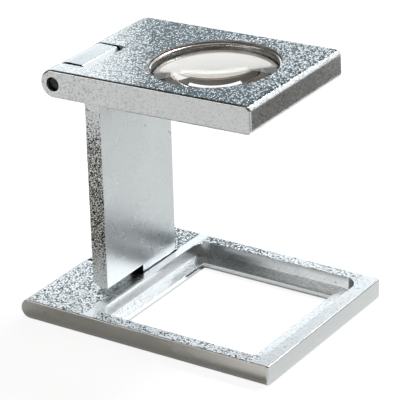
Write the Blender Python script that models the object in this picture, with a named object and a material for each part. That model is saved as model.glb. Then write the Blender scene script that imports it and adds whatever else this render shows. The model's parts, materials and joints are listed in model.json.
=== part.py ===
# Folding stand magnifier with three leaves: a base frame with a square viewing window,
# an upright, and a thick lens plate that stands level over the window.
# Metres, +Z up. The origin is the centre of the base's underside. +X runs from the
# hinges to the front, and Y runs across the object.
#
# Both hinge pins lie along Y. The lens plate folds up, back and down until it hangs
# behind the upright, and then the pair folds back and under the base.

import math

import bmesh
import bpy
from mathutils import Matrix

# Base frame
BASE_LENGTH = 0.0575
BASE_WIDTH = 0.0430
BASE_THICKNESS = 0.0040
BASE_CORNER_RADIUS = 0.0006     # front corners, seen from above
POCKET_LENGTH = 0.0376
POCKET_WIDTH = 0.0373
POCKET_CENTRE_X = 0.0069
POCKET_CORNER_RADIUS = 0.0032
POCKET_FLOOR_Z = 0.0015
WINDOW_SIDE = 0.0300
WINDOW_CENTRE_X = 0.0062
WINDOW_CORNER_RADIUS = 0.0002
WINDOW_LIP_Z = 0.0006

# Lens plate
PLATE_REACH = 0.0443            # from the upper pin to the free end
PLATE_WIDTH = 0.0335
PLATE_THICKNESS = 0.0057
PLATE_TILT = math.radians(1.6)  # nose up, on its stop
PLATE_LOWER_CHAMFER = 0.0006
PLATE_SLOT_REACH = 0.0056       # from the upper pin to the slot's front wall

# Lens, its bore and its snap ring. Heights are from the plate's middle plane.
LENS_REACH = 0.0263             # from the upper pin to the optical axis
LENS_RADIUS = 0.0125
LENS_SURFACE_RADIUS = 0.0520
LENS_EDGE_TOP = 0.00125
LENS_EDGE_THICKNESS = 0.0015
LENS_SIDE_GAP = 0.0003
SEAT_RADIUS = 0.0116
SEAT_DROP = 0.0004              # from the lens's lower rim to the seat
RING_WIRE_RADIUS = 0.0004
RING_RADIUS = 0.0126            # to the middle of the wire
RING_CENTRE_HEIGHT = 0.0020
RING_GROOVE_DEPTH = 0.0004
RING_SPLIT = math.radians(24)   # the gap between the wire's ends
RING_SPLIT_AT = math.radians(-135)

# Upright
UPRIGHT_WIDTH = 0.0244
UPRIGHT_THICKNESS = 0.0035
UPRIGHT_FOOT_GAP = 0.0016       # under the half that has no lower arm
UPRIGHT_FOOT_RADIUS = 0.0020
ARM_FILLET = 0.0012             # where an arm meets the upright's back
UPPER_KNUCKLE_END_Y = 0.0001
LOWER_KNUCKLE_START_Y = 0.0004
KNUCKLE_FLAT_REACH = 0.0034     # flat top of the upper knuckle, from its pin
KNUCKLE_NOSE_DROP = 0.0026      # from that flat to the foot of the sloping nose
ARM_ROOT_DEPTH = 0.0024         # how far the upper arm runs down the upright's back

# Hinges
UPPER_PIN_RADIUS = 0.00130
LOWER_PIN_RADIUS = 0.00100
PIN_CLEARANCE = 0.0001
PIN_RECESS = 0.0008
PIN_BLIND_REACH = 0.0100        # past the knuckle, into the solid side
WASHER_POCKET = 0.0010          # room at a knuckle's near end
WASHER_THICKNESS = 0.00025
WASHER_WAVE = 0.00015
WASHER_WAVES = 3
WASHER_BORE_GAP = 0.00015
WASHER_EDGE_GAP = 0.00035

# Room between pieces
FIT_GAP = 0.0003
SMALL_GAP = 0.0001              # a knuckle below its neighbours' faces, a wire in its groove
FOLD_CLEARANCE = 0.0004         # lens plate to the underside of the base, folded
END_CLEARANCE = 0.0010          # lens plate's free end to the base's top, folded
BACK_CLEARANCE = 0.0011         # lens plate to the upright's back, folded
CUT_MARGIN = 0.0020             # how far cutters run past what they cut

# Facets
ROUND_STEPS = 64
PIN_STEPS = 32
ARC_STEPS = 8
LENS_RINGS = 8
WIRE_STEPS = 10
CORNER_STEPS = 3
SMOOTH_ANGLE = math.radians(40)
MERGE_DISTANCE = 1e-7
PIN_CHAMFER = 0.0002

# Places that follow from the sizes
REAR_X = -BASE_LENGTH / 2
LOWER_PIN_X = REAR_X + BASE_THICKNESS / 2
LOWER_PIN_Z = BASE_THICKNESS / 2
PLATE_HALF = PLATE_THICKNESS / 2
UPPER_PIN_X = LOWER_PIN_X + BASE_THICKNESS / 2 + FOLD_CLEARANCE + PLATE_HALF
UPPER_PIN_Z = BASE_THICKNESS + END_CLEARANCE + PLATE_REACH
UPRIGHT_BACK_X = UPPER_PIN_X + PLATE_HALF + BACK_CLEARANCE
UPRIGHT_FRONT_X = UPRIGHT_BACK_X + UPRIGHT_THICKNESS
UPRIGHT_TOP_Z = UPPER_PIN_Z - PLATE_HALF - FIT_GAP / 2  # the tilt opens this to a full gap
BORE_RADIUS = LENS_RADIUS + LENS_SIDE_GAP
UPRIGHT_SIDE_Y = UPRIGHT_WIDTH / 2
UPPER_SLOT = (-UPRIGHT_SIDE_Y - FIT_GAP, UPPER_KNUCKLE_END_Y + FIT_GAP)
LOWER_SLOT = (LOWER_KNUCKLE_START_Y - WASHER_POCKET, UPRIGHT_SIDE_Y + FIT_GAP)
UPPER_KNUCKLE_START_Y = UPPER_SLOT[0] + WASHER_POCKET


def clear_scene():
    for item in list(bpy.data.objects):
        bpy.data.objects.remove(item, do_unlink=True)


def link(item):
    bpy.context.scene.collection.objects.link(item)
    return item


def make_material(name, colour, roughness, metallic, transmission=0.0):
    material = bpy.data.materials.new(name)
    material.use_nodes = True
    shader = material.node_tree.nodes["Principled BSDF"]
    shader.inputs["Base Color"].default_value = (*colour, 1.0)
    shader.inputs["Roughness"].default_value = roughness
    shader.inputs["Metallic"].default_value = metallic
    shader.inputs["Transmission Weight"].default_value = transmission
    material.diffuse_color = (*colour, 1.0)
    return material


def add_object(name, bm, material=None):
    bmesh.ops.recalc_face_normals(bm, faces=bm.faces)
    mesh = bpy.data.meshes.new(name)
    bm.to_mesh(mesh)
    bm.free()
    mesh.shade_smooth()
    mesh.set_sharp_from_angle(angle=SMOOTH_ANGLE)
    if material is not None:
        mesh.materials.append(material)
    return link(bpy.data.objects.new(name, mesh))


def add_boolean(item, tool, operation="DIFFERENCE"):
    tool.hide_render = True
    tool.display_type = "WIRE"
    boolean = item.modifiers.new(tool.name, "BOOLEAN")
    boolean.solver = "EXACT"
    boolean.operation = operation
    boolean.object = tool


def arc(centre_x, centre_z, radius, start, end, steps=ARC_STEPS):
    """Points on an arc in the XZ plane, from start to end in degrees."""
    points = []
    for step in range(steps + 1):
        angle = math.radians(start + (end - start) * step / steps)
        points.append((centre_x + radius * math.cos(angle), centre_z + radius * math.sin(angle)))
    return points


def prism(outline, low_y, high_y):
    """A closed solid: an XZ outline extruded along Y."""
    bm = bmesh.new()
    corners = [bm.verts.new((x, low_y, z)) for x, z in outline]
    face = bm.faces.new(corners)
    grown = bmesh.ops.extrude_face_region(bm, geom=[face])
    moved = [part for part in grown["geom"] if isinstance(part, bmesh.types.BMVert)]
    bmesh.ops.translate(bm, verts=moved, vec=(0.0, high_y - low_y, 0.0))
    return bm


def box(low, high):
    bm = bmesh.new()
    bmesh.ops.create_cube(bm, size=1.0)
    size = [high[axis] - low[axis] for axis in range(3)]
    middle = [(high[axis] + low[axis]) / 2 for axis in range(3)]
    bmesh.ops.scale(bm, verts=bm.verts, vec=size)
    bmesh.ops.translate(bm, verts=bm.verts, vec=middle)
    return bm


def rod_along_y(radius, low_y, high_y, x, z, chamfer=0.0):
    bm = bmesh.new()
    turn = Matrix.Rotation(math.radians(90), 4, "X")
    bmesh.ops.create_cone(bm, cap_ends=True, segments=PIN_STEPS, radius1=radius,
                          radius2=radius, depth=high_y - low_y, matrix=turn)
    if chamfer:
        rims = [edge for edge in bm.edges
                if abs(edge.verts[0].co.y - edge.verts[1].co.y) < chamfer]
        bmesh.ops.bevel(bm, geom=rims, offset=chamfer, segments=1, profile=0.5, affect="EDGES")
    bmesh.ops.translate(bm, verts=bm.verts, vec=(x, (low_y + high_y) / 2, z))
    return bm


def turned(profile, centre, angle=math.tau, steps=ROUND_STEPS):
    """A solid of revolution about Z through centre, from a closed (radius, height) profile."""
    bm = bmesh.new()
    start = [bm.verts.new((radius, 0.0, height)) for radius, height in profile]
    edges = [bm.edges.new(pair) for pair in zip(start, start[1:] + start[:1])]
    bmesh.ops.spin(bm, geom=start + edges, cent=(0, 0, 0), axis=(0, 0, 1), angle=angle,
                   steps=steps, use_merge=angle == math.tau)
    bmesh.ops.remove_doubles(bm, verts=bm.verts, dist=MERGE_DISTANCE)
    bmesh.ops.dissolve_degenerate(bm, edges=bm.edges, dist=MERGE_DISTANCE)
    bmesh.ops.translate(bm, verts=bm.verts, vec=centre)
    return bm


def rounded_rectangle(bm, centre_x, length, width, radius, height):
    """A loop of vertices in a level plane, counted from the front far corner."""
    loop = []
    for quarter, (side_x, side_y) in enumerate(((1, 1), (-1, 1), (-1, -1), (1, -1))):
        corner_x = centre_x + side_x * (length / 2 - radius)
        corner_y = side_y * (width / 2 - radius)
        for step in range(ARC_STEPS + 1):
            angle = math.radians(90 * quarter + 90 * step / ARC_STEPS)
            loop.append(bm.verts.new((corner_x + radius * math.cos(angle),
                                      corner_y + radius * math.sin(angle), height)))
    return loop


def window_cutter():
    """Pocket with straight walls, a lip that slopes to the window, and the window."""
    pocket = (POCKET_CENTRE_X, POCKET_LENGTH, POCKET_WIDTH, POCKET_CORNER_RADIUS)
    window = (WINDOW_CENTRE_X, WINDOW_SIDE, WINDOW_SIDE, WINDOW_CORNER_RADIUS)
    levels = ((pocket, BASE_THICKNESS + CUT_MARGIN), (pocket, POCKET_FLOOR_Z),
              (window, WINDOW_LIP_Z), (window, -CUT_MARGIN))
    bm = bmesh.new()
    loops = [rounded_rectangle(bm, *shape, height) for shape, height in levels]
    for upper, lower in zip(loops, loops[1:]):
        for index in range(len(upper)):
            after = (index + 1) % len(upper)
            bm.faces.new((upper[index], upper[after], lower[after], lower[index]))
    bm.faces.new(loops[0])
    bm.faces.new(loops[-1])
    return bm


def base_outline():
    half = BASE_THICKNESS / 2
    front = BASE_LENGTH / 2
    rear = arc(LOWER_PIN_X, LOWER_PIN_Z, half, 90, 270, 2 * ARC_STEPS)
    return rear + [(front, 0.0), (front, BASE_THICKNESS)]


def build_base_frame(material):
    side = BASE_WIDTH / 2
    bm = prism(base_outline(), -side, side)
    front = BASE_LENGTH / 2
    corners = [edge for edge in bm.edges
               if all(abs(vert.co.x - front) < FIT_GAP for vert in edge.verts)
               and abs(edge.verts[0].co.z - edge.verts[1].co.z) > FIT_GAP]
    bmesh.ops.bevel(bm, geom=corners, offset=BASE_CORNER_RADIUS, segments=CORNER_STEPS,
                    profile=0.5, affect="EDGES")
    frame = add_object("base_frame", bm, material)
    add_boolean(frame, add_object("window_cut", window_cutter()))
    slot = box((REAR_X - CUT_MARGIN, LOWER_SLOT[0], -CUT_MARGIN),
               (UPRIGHT_FRONT_X + FIT_GAP, LOWER_SLOT[1], BASE_THICKNESS + CUT_MARGIN))
    add_boolean(frame, add_object("lower_slot_cut", slot))
    bore = rod_along_y(LOWER_PIN_RADIUS + PIN_CLEARANCE, LOWER_SLOT[0] - PIN_BLIND_REACH,
                       side + CUT_MARGIN, LOWER_PIN_X, LOWER_PIN_Z)
    add_boolean(frame, add_object("lower_bore_cut", bore))
    return frame


def upper_arm_outline():
    """Upper knuckle about its pin, flush with the lens plate, with a sloping nose."""
    radius = PLATE_HALF - SMALL_GAP
    top = UPPER_PIN_Z + radius
    under = UPPER_PIN_Z - radius
    nose_x = UPPER_PIN_X + PLATE_SLOT_REACH - FIT_GAP
    back = UPRIGHT_BACK_X
    outline = arc(UPPER_PIN_X, UPPER_PIN_Z, radius, 270, 90, 2 * ARC_STEPS)
    outline.append((UPPER_PIN_X + KNUCKLE_FLAT_REACH, top))
    outline.append((nose_x, top - KNUCKLE_NOSE_DROP))
    outline.append((nose_x, UPRIGHT_TOP_Z - ARM_FILLET))
    outline.append((back + UPRIGHT_THICKNESS / 2, under - ARM_ROOT_DEPTH))
    outline.append((back, under - ARM_ROOT_DEPTH))
    outline += arc(back - ARM_FILLET, under - ARM_FILLET, ARM_FILLET, 0, 90)
    return outline


def lower_arm_outline():
    """Lower knuckle about its pin, and the arm that lies in the base's slot."""
    radius = BASE_THICKNESS / 2 - SMALL_GAP
    low = LOWER_PIN_Z - radius
    high = LOWER_PIN_Z + radius
    back = UPRIGHT_BACK_X
    joined = BASE_THICKNESS + UPRIGHT_FOOT_GAP + 2 * UPRIGHT_FOOT_RADIUS
    outline = arc(LOWER_PIN_X, LOWER_PIN_Z, radius, 90, 270, 2 * ARC_STEPS)
    outline.append((UPRIGHT_FRONT_X, low))
    outline.append((UPRIGHT_FRONT_X, joined))
    outline.append((back, joined))
    outline += arc(back - ARM_FILLET, high + ARM_FILLET, ARM_FILLET, 360, 270)
    return outline


def stem_outline():
    """The upright's plate, with a rounded rear corner at its foot."""
    foot = BASE_THICKNESS + UPRIGHT_FOOT_GAP
    radius = UPRIGHT_FOOT_RADIUS
    outline = arc(UPRIGHT_BACK_X + radius, foot + radius, radius, 180, 270)
    outline.append((UPRIGHT_FRONT_X, foot))
    outline.append((UPRIGHT_FRONT_X, UPRIGHT_TOP_Z))
    outline.append((UPRIGHT_BACK_X, UPRIGHT_TOP_Z))
    return outline


def build_upright(material):
    side = UPRIGHT_SIDE_Y
    upright = add_object("upright", prism(stem_outline(), -side, side), material)
    upper = prism(upper_arm_outline(), UPPER_KNUCKLE_START_Y, UPPER_KNUCKLE_END_Y)
    add_boolean(upright, add_object("upper_arm_join", upper), "UNION")
    lower = prism(lower_arm_outline(), LOWER_KNUCKLE_START_Y, side)
    add_boolean(upright, add_object("lower_arm_join", lower), "UNION")
    pins = ((UPPER_PIN_RADIUS, UPPER_PIN_X, UPPER_PIN_Z, "upper_knuckle_cut"),
            (LOWER_PIN_RADIUS, LOWER_PIN_X, LOWER_PIN_Z, "lower_knuckle_cut"))
    for radius, x, z, name in pins:
        bore = rod_along_y(radius + PIN_CLEARANCE, -side - CUT_MARGIN, side + CUT_MARGIN, x, z)
        add_boolean(upright, add_object(name, bore))
    return upright


def plate_outline():
    """The lens plate about its pin: round at the rear, chamfered below at the front."""
    half = PLATE_HALF
    chamfer = PLATE_LOWER_CHAMFER
    outline = arc(0.0, 0.0, half, 90, 270, 2 * ARC_STEPS)
    outline.append((PLATE_REACH - chamfer, -half))
    outline.append((PLATE_REACH, -half + chamfer))
    outline.append((PLATE_REACH, half))
    return outline


def lens_bore_cutter():
    """Bore, snap ring groove and seat, as one turned solid about the optical axis."""
    seat = LENS_EDGE_TOP - LENS_EDGE_THICKNESS - SEAT_DROP
    groove_low = RING_CENTRE_HEIGHT - RING_WIRE_RADIUS - SMALL_GAP
    groove_high = RING_CENTRE_HEIGHT + RING_WIRE_RADIUS + SMALL_GAP
    groove = BORE_RADIUS + RING_GROOVE_DEPTH
    beyond = PLATE_HALF + CUT_MARGIN
    profile = [(0.0, beyond), (BORE_RADIUS, beyond), (BORE_RADIUS, groove_high),
               (groove, groove_high), (groove, groove_low), (BORE_RADIUS, groove_low),
               (BORE_RADIUS, seat), (SEAT_RADIUS, seat), (SEAT_RADIUS, -beyond), (0.0, -beyond)]
    return turned(profile, (LENS_REACH, 0.0, 0.0))


def place_on_plate(item, pivot):
    """A piece made about the upper pin goes to its place on the tilted lens plate."""
    item.parent = pivot
    return item


def build_lens_plate(material, pivot):
    side = PLATE_WIDTH / 2
    plate = add_object("lens_plate", prism(plate_outline(), -side, side), material)
    tools = [add_object("lens_bore_cut", lens_bore_cutter())]
    slot = box((-PLATE_HALF - CUT_MARGIN, UPPER_SLOT[0], -PLATE_HALF - CUT_MARGIN),
               (PLATE_SLOT_REACH, UPPER_SLOT[1], PLATE_HALF + CUT_MARGIN))
    tools.append(add_object("upper_slot_cut", slot))
    bore = rod_along_y(UPPER_PIN_RADIUS + PIN_CLEARANCE, -side - CUT_MARGIN,
                       UPPER_SLOT[1] + PIN_BLIND_REACH, 0.0, 0.0)
    tools.append(add_object("upper_bore_cut", bore))
    for tool in tools:
        place_on_plate(tool, pivot)
        add_boolean(plate, tool)
    return place_on_plate(plate, pivot)


def lens_profile():
    """Half of an equally convex section, from the axis over the rim and back."""
    rise = LENS_SURFACE_RADIUS - math.sqrt(LENS_SURFACE_RADIUS ** 2 - LENS_RADIUS ** 2)
    low_edge = LENS_EDGE_TOP - LENS_EDGE_THICKNESS
    upper = []
    lower = []
    for ring in range(LENS_RINGS + 1):
        radius = LENS_RADIUS * ring / LENS_RINGS
        bulge = math.sqrt(LENS_SURFACE_RADIUS ** 2 - radius ** 2) - LENS_SURFACE_RADIUS + rise
        upper.append((radius, LENS_EDGE_TOP + bulge))
        lower.append((radius, low_edge - bulge))
    return upper + lower[::-1]


def build_lens(material, pivot):
    bm = turned(lens_profile(), (LENS_REACH, 0.0, 0.0))
    return place_on_plate(add_object("lens", bm, material), pivot)


def build_retaining_ring(material, pivot):
    """A split ring of round wire in the groove above the lens."""
    bm = bmesh.new()
    upright_circle = Matrix.Translation((RING_RADIUS, 0, RING_CENTRE_HEIGHT))
    upright_circle = upright_circle @ Matrix.Rotation(math.radians(90), 4, "X")
    bmesh.ops.create_circle(bm, cap_ends=True, segments=WIRE_STEPS, radius=RING_WIRE_RADIUS,
                            matrix=upright_circle)
    start = bm.verts[:] + bm.edges[:] + bm.faces[:]
    bmesh.ops.spin(bm, geom=start, cent=(0, 0, 0), axis=(0, 0, 1),
                   angle=math.tau - RING_SPLIT, steps=ROUND_STEPS, use_duplicate=False)
    turn = Matrix.Rotation(RING_SPLIT_AT + RING_SPLIT / 2, 4, "Z")
    bmesh.ops.transform(bm, matrix=Matrix.Translation((LENS_REACH, 0, 0)) @ turn, verts=bm.verts)
    ring = add_object("lens_retaining_ring", bm, material)
    return place_on_plate(ring, pivot)


def build_upper_pin(material, pivot):
    low = -PLATE_WIDTH / 2 + PIN_RECESS
    high = UPPER_SLOT[1] + PIN_BLIND_REACH - FIT_GAP
    bm = rod_along_y(UPPER_PIN_RADIUS, low, high, 0.0, 0.0, chamfer=PIN_CHAMFER)
    return place_on_plate(add_object("upper_hinge_pin", bm, material), pivot)


def build_lower_pin(material):
    low = LOWER_SLOT[0] - PIN_BLIND_REACH + FIT_GAP
    high = BASE_WIDTH / 2 - PIN_RECESS
    bm = rod_along_y(LOWER_PIN_RADIUS, low, high, 0.0, 0.0, chamfer=PIN_CHAMFER)
    pin = add_object("lower_hinge_pin", bm, material)
    pin.location = (LOWER_PIN_X, 0.0, LOWER_PIN_Z)
    return pin


def build_washer(name, material, pin_radius, outer_radius, middle_y):
    """A wave washer about Y: a flat ring whose face rises and falls as it goes round."""
    inner_radius = pin_radius + WASHER_BORE_GAP
    half = WASHER_THICKNESS / 2
    profile = [(inner_radius, -half), (outer_radius, -half),
               (outer_radius, half), (inner_radius, half)]
    bm = turned(profile, (0, 0, 0))
    for vert in bm.verts:
        round_angle = math.atan2(vert.co.y, vert.co.x)
        vert.co.z += WASHER_WAVE * math.cos(WASHER_WAVES * round_angle)
    turn = Matrix.Rotation(math.radians(90), 3, "X")
    bmesh.ops.rotate(bm, verts=bm.verts, cent=(0, 0, 0), matrix=turn)
    bmesh.ops.translate(bm, verts=bm.verts, vec=(0.0, middle_y, 0.0))
    return add_object(name, bm, material)


def main():
    clear_scene()
    casting = make_material("satin_chrome_casting", (0.72, 0.73, 0.74), 0.38, 1.0)
    plate_metal = make_material("satin_chrome_plate", (0.74, 0.75, 0.76), 0.38, 1.0)
    stem_metal = make_material("satin_chrome_upright", (0.70, 0.72, 0.73), 0.34, 1.0)
    glass = make_material("crown_glass", (1.0, 1.0, 1.0), 0.02, 0.0, transmission=1.0)
    steel = make_material("pin_steel", (0.55, 0.55, 0.56), 0.25, 1.0)
    spring_steel = make_material("spring_steel", (0.42, 0.42, 0.44), 0.30, 1.0)

    pivot = link(bpy.data.objects.new("lens_plate_pivot", None))
    pivot.location = (UPPER_PIN_X, 0.0, UPPER_PIN_Z)
    pivot.rotation_euler = (0.0, -PLATE_TILT, 0.0)

    build_base_frame(casting)
    build_upright(stem_metal)
    build_lens_plate(plate_metal, pivot)
    build_lens(glass, pivot)
    build_retaining_ring(spring_steel, pivot)
    build_upper_pin(steel, pivot)
    build_lower_pin(steel)

    upper_washer = build_washer("upper_spring_washer", spring_steel, UPPER_PIN_RADIUS,
                                PLATE_HALF - WASHER_EDGE_GAP,
                                UPPER_KNUCKLE_START_Y - WASHER_POCKET / 2)
    place_on_plate(upper_washer, pivot)
    lower_washer = build_washer("lower_spring_washer", spring_steel, LOWER_PIN_RADIUS,
                                BASE_THICKNESS / 2 - WASHER_BORE_GAP,
                                LOWER_KNUCKLE_START_Y - WASHER_POCKET / 2)
    lower_washer.location = (LOWER_PIN_X, 0.0, LOWER_PIN_Z)


main()
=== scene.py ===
import json
import math

import bmesh
import bpy
from mathutils import Matrix, Vector


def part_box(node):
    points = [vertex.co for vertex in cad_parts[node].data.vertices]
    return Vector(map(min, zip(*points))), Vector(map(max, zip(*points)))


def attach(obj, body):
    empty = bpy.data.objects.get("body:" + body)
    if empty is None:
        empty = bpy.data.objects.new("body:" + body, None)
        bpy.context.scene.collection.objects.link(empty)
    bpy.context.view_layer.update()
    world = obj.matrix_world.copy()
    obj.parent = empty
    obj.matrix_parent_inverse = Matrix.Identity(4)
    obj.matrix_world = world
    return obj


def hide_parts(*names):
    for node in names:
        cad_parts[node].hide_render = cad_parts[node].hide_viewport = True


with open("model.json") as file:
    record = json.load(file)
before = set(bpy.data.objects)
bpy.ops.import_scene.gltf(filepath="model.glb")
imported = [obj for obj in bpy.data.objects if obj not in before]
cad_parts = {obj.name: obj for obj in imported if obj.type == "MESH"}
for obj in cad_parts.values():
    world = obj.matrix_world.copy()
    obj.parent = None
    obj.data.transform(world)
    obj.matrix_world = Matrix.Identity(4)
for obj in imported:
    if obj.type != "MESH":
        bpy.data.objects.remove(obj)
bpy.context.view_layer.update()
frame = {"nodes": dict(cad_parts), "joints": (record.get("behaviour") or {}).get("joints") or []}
print("frame loaded:", len(frame["nodes"]), "nodes")

# ---- camera and light: azimuth 0 looks along +Y, lengths in metres

camera = {
    "azimuth": 33.42,
    "elevation": 24.47,
    "roll": -1.61,
    "distance": 0.4722,
    "lens": 216.8,
    "sensor": 36.0,
    "aim": (-0.0001, 0.0007, 0.0230),
}

studio = {
    "floorSize": 3.0,
    "floorDrop": 0.0002,
    "floorColour": (0.86, 0.86, 0.84),
    "floorSeen": (0.25, 0.25, 0.25),
    "floorGlow": 0.88,
    "skyColour": (1.0, 0.95, 0.88),
    "skyStrength": 0.10,
    "skySeen": 0.88,
    # name: azimuth it shines from, elevation, distance, width, height, brightness, colour
    "lights": {
        "backdrop": (-148, 17.5, 0.45, 0.42, 0.235, 1.20, (0.92, 0.97, 1.0)),
        "sidePanel": (148, 26, 0.60, 0.46, 0.42, 0.96, (1.0, 1.0, 1.0)),
        "key": (163, 54, 1.60, 0.60, 0.34, 26.0, (0.98, 0.99, 1.0)),
        "overhead": (0, 88, 0.90, 0.55, 0.55, 0.5, (1.0, 0.96, 0.90)),
        "fill": (-38, 26, 0.60, 0.40, 0.26, 1.3, (1.0, 0.98, 0.95)),
    },
    # cards: centre, azimuth and elevation it faces, width, height, shade, own light
    # underGlow is seen only through the lens, and the others only by reflections
    "cards": {
        "endCard": ((0.060, 0.062, 0.022), -90, 0, 0.080, 0.044, (0.24, 0.225, 0.205), 0.0),
        "edgeFlag": ((-0.150, -0.125, 0.260), 129, -50, 0.200, 0.200, (0.01, 0.01, 0.01), 0.0),
        "floorFlag": ((-0.020, -0.051, 0.0004), 0, 90, 0.110, 0.058, (0.76, 0.72, 0.655), 0.0),
        "behindFlag": ((-0.220, 0.270, 0.0004), 0, 90, 0.400, 0.460, (0.02, 0.02, 0.02), 0.0),
        "windowGlow": ((-0.0030, -0.0032, 0.0004), 0, 90, 0.0114, 0.0236, (0.8, 0.8, 0.8), 0.65),
        "windowShade": ((0.0062, 0.0106, 0.0006), 0, 90, 0.0296, 0.0040, (0.03, 0.03, 0.03), 0.0),
        "underGlow": ((-0.060, -0.080, 0.0004), 0, 90, 0.110, 0.110, (0.8, 0.8, 0.8), 2.0),
        "cornerFlag": ((0.110, -0.078, 0.0004), 0, 90, 0.080, 0.070, (0.06, 0.055, 0.05), 0.0),
    },
}


def direction(azimuth, elevation):
    a = math.radians(azimuth)
    e = math.radians(elevation)
    return Vector((math.sin(a) * math.cos(e), -math.cos(a) * math.cos(e), math.sin(e)))


def facing(back, roll=0.0):
    turn = back.to_track_quat("Z", "Y").to_matrix().to_4x4()
    return turn @ Matrix.Rotation(math.radians(roll), 4, "Z")


def makeCamera(settings):
    data = bpy.data.cameras.new("mainCamera")
    data.lens = settings["lens"]
    data.sensor_width = settings["sensor"]
    data.clip_start = 0.01
    item = bpy.data.objects.new("mainCamera", data)
    bpy.context.scene.collection.objects.link(item)
    back = direction(settings["azimuth"], settings["elevation"])
    place = Matrix.Translation(Vector(settings["aim"]) + back * settings["distance"])
    item.matrix_world = place @ facing(back, settings["roll"])
    bpy.context.scene.camera = item


def plainSheet(name, width, height, place):
    bm = bmesh.new()
    bmesh.ops.create_grid(bm, x_segments=1, y_segments=1, size=0.5)
    bmesh.ops.scale(bm, verts=bm.verts, vec=(width, height, 1))
    bmesh.ops.transform(bm, verts=bm.verts, matrix=place)
    mesh = bpy.data.meshes.new(name)
    bm.to_mesh(mesh)
    bm.free()
    item = bpy.data.objects.new(name, mesh)
    bpy.context.scene.collection.objects.link(item)
    return item


def makeFloor(settings):
    # the camera sees a paler floor than the metal reflects
    place = Matrix.Translation((0, 0, -settings["floorDrop"]))
    floor = plainSheet("floor", settings["floorSize"], settings["floorSize"], place)
    material = bpy.data.materials.new("paleFloor")
    material.use_nodes = True
    nodes = material.node_tree.nodes
    links = material.node_tree.links
    nodes.clear()
    result = nodes.new("ShaderNodeOutputMaterial")
    pick = nodes.new("ShaderNodeMixShader")
    path = nodes.new("ShaderNodeLightPath")
    reflected = nodes.new("ShaderNodeBsdfDiffuse")
    reflected.inputs["Color"].default_value = (*settings["floorColour"], 1)
    seen = nodes.new("ShaderNodeBsdfPrincipled")
    seen.inputs["Base Color"].default_value = (*settings["floorSeen"], 1)
    seen.inputs["Roughness"].default_value = 1.0
    seen.inputs["Specular IOR Level"].default_value = 0.0
    seen.inputs["Emission Color"].default_value = (1, 1, 1, 1)
    seen.inputs["Emission Strength"].default_value = settings["floorGlow"]
    links.new(path.outputs["Is Camera Ray"], pick.inputs["Fac"])
    links.new(reflected.outputs["BSDF"], pick.inputs[1])
    links.new(seen.outputs["BSDF"], pick.inputs[2])
    links.new(pick.outputs["Shader"], result.inputs["Surface"])
    floor.data.materials.append(material)


def makeSky(settings):
    world = bpy.data.worlds.new("paleRoom")
    bpy.context.scene.world = world
    world.use_nodes = True
    nodes = world.node_tree.nodes
    links = world.node_tree.links
    sky = nodes["Background"]
    sky.inputs["Color"].default_value = (*settings["skyColour"], 1)
    path = nodes.new("ShaderNodeLightPath")
    strength = nodes.new("ShaderNodeMapRange")
    strength.inputs["To Min"].default_value = settings["skyStrength"]
    strength.inputs["To Max"].default_value = settings["skySeen"]
    links.new(path.outputs["Is Camera Ray"], strength.inputs["Value"])
    links.new(strength.outputs["Result"], sky.inputs["Strength"])


def makeStudio(settings):
    makeFloor(settings)
    makeSky(settings)
    for name, values in settings["lights"].items():
        azimuth, elevation, distance, width, height, brightness, colour = values
        data = bpy.data.lights.new(name, "AREA")
        data.shape = "RECTANGLE"
        data.size = width
        data.size_y = height
        data.energy = brightness * math.pi * width * height
        data.color = colour
        lamp = bpy.data.objects.new(name, data)
        lamp.visible_transmission = name != "key"
        bpy.context.scene.collection.objects.link(lamp)
        back = direction(azimuth, elevation)
        lamp.matrix_world = Matrix.Translation(back * distance) @ facing(back)
    for name, values in settings["cards"].items():
        centre, azimuth, elevation, width, height, shade, glow = values
        turn = facing(direction(azimuth, elevation))
        card = plainSheet(name, width, height, Matrix.Translation(centre) @ turn)
        material = bpy.data.materials.new(name)
        material.use_nodes = True
        shader = material.node_tree.nodes["Principled BSDF"]
        shader.inputs["Base Color"].default_value = (*shade, 1)
        shader.inputs["Roughness"].default_value = 1.0
        shader.inputs["Specular IOR Level"].default_value = 0.0
        shader.inputs["Emission Color"].default_value = (1, 1, 1, 1)
        shader.inputs["Emission Strength"].default_value = glow
        card.data.materials.append(material)
        card.visible_camera = False
        card.visible_diffuse = False
        card.visible_shadow = False
        card.visible_transmission = name == "underGlow"
        card.visible_glossy = name != "underGlow"


makeCamera(camera)
makeStudio(studio)
bpy.context.scene.view_settings.view_transform = "Standard"
print("camera and studio ready")

# ---- places taken from the frame

baseLow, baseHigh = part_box("base_frame")
uprightLow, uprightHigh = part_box("upright")
joints = {joint["name"]: joint for joint in frame["joints"]}
lowerPin = Vector(joints["upright_fold"]["pos_m"])
upperPin = Vector(joints["lens_plate_fold"]["pos_m"])
plateTilt = math.radians(270 - joints["lens_plate_fold"]["range_deg"][1])
platePlace = Matrix.Translation(upperPin) @ Matrix.Rotation(-plateTilt, 4, "Y")
baseThickness = baseHigh.z - baseLow.z

# ---- modelling helpers


def newPiece(name, bm, body, nodes=()):
    bmesh.ops.remove_doubles(bm, verts=bm.verts, dist=1e-6)
    bmesh.ops.recalc_face_normals(bm, faces=bm.faces)
    mesh = bpy.data.meshes.new(name)
    bm.to_mesh(mesh)
    bm.free()
    item = bpy.data.objects.new(name, mesh)
    bpy.context.scene.collection.objects.link(item)
    if body:
        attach(item, body)
        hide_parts(*nodes)
    return item


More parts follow.
